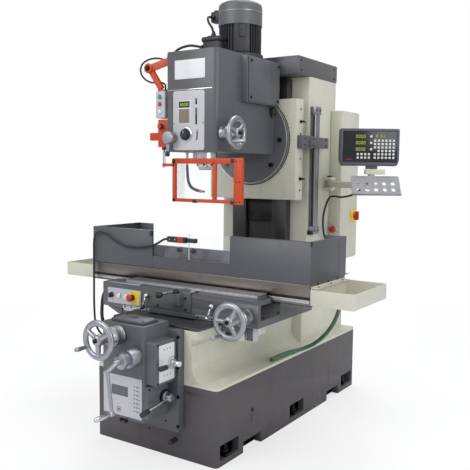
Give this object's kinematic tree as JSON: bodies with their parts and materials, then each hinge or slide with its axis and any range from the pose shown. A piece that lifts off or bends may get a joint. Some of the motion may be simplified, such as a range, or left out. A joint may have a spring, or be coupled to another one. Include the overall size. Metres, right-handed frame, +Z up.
{
  "type": "vertical_milling_machine",
  "caption": "Floor-standing bed type vertical milling machine: cream bed and column, dark grey head with a top motor, guarded table with trays, swinging spindle guard and read-out arm.",
  "frame": {"origin": "middle of the base, on the floor", "axes": "+Z up, +X to the right of an operator who faces the machine, +Y to the rear"},
  "size_m": [1.852, 2.101, 2.3254],
  "materials": {
    "dark_paint": "semi-gloss dark grey enamel, fine orange peel",
    "cream_paint": "semi-gloss cream enamel over filled castings",
    "skirt_paint": "satin near-black grey enamel",
    "ground_iron": "ground cast iron, long brushed grain",
    "dark_iron": "dark oiled iron",
    "satin_steel": "satin turned steel",
    "bright_steel": "polished steel",
    "signal_orange": "satin orange enamel",
    "black_plastic": "fine textured black plastic",
    "panel_grey": "light grey moulded case",
    "red_plastic": "glossy red",
    "green_plastic": "glossy green",
    "clear_pane": "clear pane",
    "black_rubber": "matt black jacket",
    "green_hose": "translucent green hose",
    "blue_hose": "dark blue segmented hose"
  },
  "bodies": {
    "base": {"base_skirt": "skirt_paint", "bed": "cream_paint", "bed_ways": "dark_iron", "column": "cream_paint", "column_cap": "dark_paint", "column_ways": "dark_iron", "screw_cover": "black_plastic", "scale_bar": "bright_steel", "cabinet": "cream_paint", "gearbox_case": "dark_paint", "gearbox_lid": "dark_paint", "dro_cable": "black_rubber"},
    "saddle": {"saddle": "dark_paint", "saddle_conduit": "black_rubber"},
    "table": {"table": "ground_iron", "table_screw": "bright_steel", "tray_left": "cream_paint", "tray_right": "cream_paint", "table_guard": "dark_paint", "interlock_switch": "black_plastic", "interlock_cable": "black_rubber", "drain_hose": "green_hose"},
    "window": {"window_pane": "clear_pane"},
    "stop_button": {"stop_button": "red_plastic"},
    "mode_knob": {"mode_knob": "black_plastic"},
    "clamp_lever": {"clamp_lever": "bright_steel"},
    "direction_lever": {"direction_lever": "black_plastic"},
    "table_wheel": {"table_handwheel": "satin_steel"},
    "cross_wheel": {"cross_handwheel": "satin_steel"},
    "cross_screw": {"cross_screw": "bright_steel"},
    "lift_crank": {"lift_crank": "satin_steel"},
    "lift_screw": {"lift_screw": "bright_steel"},
    "feed_lever": {"feed_lever": "bright_steel"},
    "range_lever": {"range_lever": "bright_steel"},
    "cabinet_door": {"cabinet_door": "cream_paint"},
    "main_switch": {"main_switch": "red_plastic"},
    "dro_arm": {"dro_arm": "cream_paint"},
    "dro_unit": {"dro_unit": "black_plastic"},
    "carriage": {"carriage": "cream_paint", "scale_reader": "dark_iron"},
    "head": {"head_casing": "dark_paint", "belt_cover": "dark_paint", "motor": "dark_iron", "drive_belt": "black_rubber", "pendant_arm": "signal_orange", "pendant": "panel_grey", "guard_bracket": "signal_orange", "pendant_cable": "black_rubber", "motor_conduit": "black_rubber", "coolant_hose": "blue_hose"},
    "quill": {"quill": "bright_steel"},
    "spindle": {"spindle": "bright_steel"},
    "spindle_pulley": {"spindle_pulley": "satin_steel"},
    "motor_pulley": {"motor_pulley": "satin_steel"},
    "quill_wheel": {"quill_handwheel": "satin_steel"},
    "speed_dial": {"speed_dial": "black_plastic"},
    "gear_lever": {"gear_lever": "satin_steel"},
    "start_button": {"start_button": "green_plastic"},
    "halt_button": {"halt_button": "red_plastic"},
    "guard": {"guard_frame": "signal_orange"}
  },
  "joints": [
    {"name": "saddle_slide", "type": "slide", "parent": "base", "child": "saddle", "axis": [0, -1, 0], "range_m": [-0.14, 0.2], "deforming": ["saddle_conduit", "drain_hose"]},
    {"name": "table_slide", "type": "slide", "parent": "saddle", "child": "table", "axis": [1, 0, 0], "range_m": [-0.4, 0.4], "deforming": ["interlock_cable", "drain_hose"]},
    {"name": "window_slide", "type": "slide", "parent": "table", "child": "window", "axis": [1, 0, 0], "range_m": [0, 0.2]},
    {"name": "stop_press", "type": "slide", "parent": "saddle", "child": "stop_button", "axis": [0, 1, 0], "range_m": [0, 0.006], "stiffness_N_per_m": 300},
    {"name": "mode_turn", "type": "hinge", "parent": "saddle", "child": "mode_knob", "pos_m": [-0.432, -0.624, 0.72], "axis": [0, -1, 0], "range_deg": [-45, 45]},
    {"name": "clamp_turn", "type": "hinge", "parent": "saddle", "child": "clamp_lever", "pos_m": [0.24, -0.64, 0.735], "axis": [0, -1, 0], "range_deg": [-60, 60]},
    {"name": "direction_turn", "type": "hinge", "parent": "saddle", "child": "direction_lever", "pos_m": [0.025, -0.65, 0.79], "axis": [0, 0, 1], "range_deg": [-25, 25]},
    {"name": "table_wheel_turn", "type": "hinge", "parent": "saddle", "child": "table_wheel", "pos_m": [0.439, -0.779, 0.71], "axis": [0, -1, 0], "range_deg": [-24500, 24500]},
    {"name": "cross_wheel_turn", "type": "hinge", "parent": "base", "child": "cross_wheel", "pos_m": [-0.015, -1.154, 0.635], "axis": [0, -1, 0], "range_deg": [-10500, 14800]},
    {"name": "cross_screw_turn", "type": "hinge", "parent": "base", "child": "cross_screw", "pos_m": [0, -0.5, 0.58], "axis": [0, -1, 0], "range_deg": [-10500, 14800]},
    {"name": "lift_crank_turn", "type": "hinge", "parent": "base", "child": "lift_crank", "pos_m": [0.088, -1.2, 0.548], "axis": [0, -1, 0], "range_deg": [-29200, 8500]},
    {"name": "lift_screw_turn", "type": "hinge", "parent": "base", "child": "lift_screw", "pos_m": [0, 0.315, 1.2], "axis": [0, 0, 1], "range_deg": [-29200, 8500]},
    {"name": "feed_turn", "type": "hinge", "parent": "base", "child": "feed_lever", "pos_m": [0.21, -0.885, 0.505], "axis": [1, 0, 0], "range_deg": [-30, 30]},
    {"name": "range_turn", "type": "hinge", "parent": "base", "child": "range_lever", "pos_m": [0.17, -0.89, 0.338], "axis": [1, 0, 0], "range_deg": [-25, 25]},
    {"name": "door_turn", "type": "hinge", "parent": "base", "child": "cabinet_door", "pos_m": [-0.38, 0.785, 1.3], "axis": [0, 0, 1], "range_deg": [0, 110]},
    {"name": "switch_turn", "type": "hinge", "parent": "base", "child": "main_switch", "pos_m": [0.38, 0.717, 1.122], "axis": [1, 0, 0], "range_deg": [0, 90]},
    {"name": "dro_arm_turn", "type": "hinge", "parent": "base", "child": "dro_arm", "pos_m": [0.335, 0.461, 1.325], "axis": [0, 0, 1], "range_deg": [-15, 50], "deforming": ["dro_cable"]},
    {"name": "dro_unit_turn", "type": "hinge", "parent": "dro_arm", "child": "dro_unit", "pos_m": [0.711, 0.19, 1.53], "axis": [0, 0, 1], "range_deg": [-30, 30], "deforming": ["dro_cable"]},
    {"name": "head_slide", "type": "slide", "parent": "base", "child": "carriage", "axis": [0, 0, 1], "range_m": [-0.32, 0.09]},
    {"name": "head_swivel", "type": "hinge", "parent": "carriage", "child": "head", "pos_m": [0, 0.09, 1.575], "axis": [0, 1, 0], "range_deg": [-45, 45]},
    {"name": "quill_slide", "type": "slide", "parent": "head", "child": "quill", "axis": [0, 0, -1], "range_m": [0, 0.12]},
    {"name": "spindle_spin", "type": "hinge", "parent": "quill", "child": "spindle", "pos_m": [0, -0.369, 1.6], "axis": [0, 0, 1], "continuous": true},
    {"name": "spindle_pulley_spin", "type": "hinge", "parent": "head", "child": "spindle_pulley", "pos_m": [0, -0.369, 1.878], "axis": [0, 0, 1], "continuous": true},
    {"name": "motor_pulley_spin", "type": "hinge", "parent": "head", "child": "motor_pulley", "pos_m": [0.03, -0.084, 1.878], "axis": [0, 0, 1], "continuous": true},
    {"name": "quill_wheel_turn", "type": "hinge", "parent": "head", "child": "quill_wheel", "pos_m": [0.25, -0.444, 1.588], "axis": [1, 0, 0], "range_deg": [-60, 8700]},
    {"name": "speed_turn", "type": "hinge", "parent": "head", "child": "speed_dial", "pos_m": [-0.031, -0.489, 1.583], "axis": [0, -1, 0], "range_deg": [-135, 135]},
    {"name": "gear_turn", "type": "hinge", "parent": "head", "child": "gear_lever", "pos_m": [-0.122, -0.5, 1.567], "axis": [0, -1, 0], "range_deg": [-45, 45]},
    {"name": "start_press", "type": "slide", "parent": "head", "child": "start_button", "axis": [0, 1, 0], "range_m": [0, 0.004], "stiffness_N_per_m": 200},
    {"name": "halt_press", "type": "slide", "parent": "head", "child": "halt_button", "axis": [0, 1, 0], "range_m": [0, 0.004], "stiffness_N_per_m": 200},
    {"name": "guard_turn", "type": "hinge", "parent": "head", "child": "guard", "pos_m": [-0.205, -0.459, 1.5], "axis": [0, 0, 1], "range_deg": [-100, 0]}
  ],
  "couplings": [
    {"joint": "table_wheel_turn", "follows": "table_slide", "rad_per_m": 1047.2},
    {"joint": "cross_wheel_turn", "follows": "saddle_slide", "rad_per_m": 1256.6},
    {"joint": "cross_screw_turn", "follows": "saddle_slide", "rad_per_m": 1256.6},
    {"joint": "lift_crank_turn", "follows": "head_slide", "rad_per_m": 1570.8},
    {"joint": "lift_screw_turn", "follows": "head_slide", "rad_per_m": 1570.8},
    {"joint": "quill_wheel_turn", "follows": "quill_slide", "rad_per_m": 1256.6},
    {"joint": "spindle_pulley_spin", "follows": "spindle_spin", "ratio": 1},
    {"joint": "motor_pulley_spin", "follows": "spindle_spin", "ratio": 1.6}
  ]
}
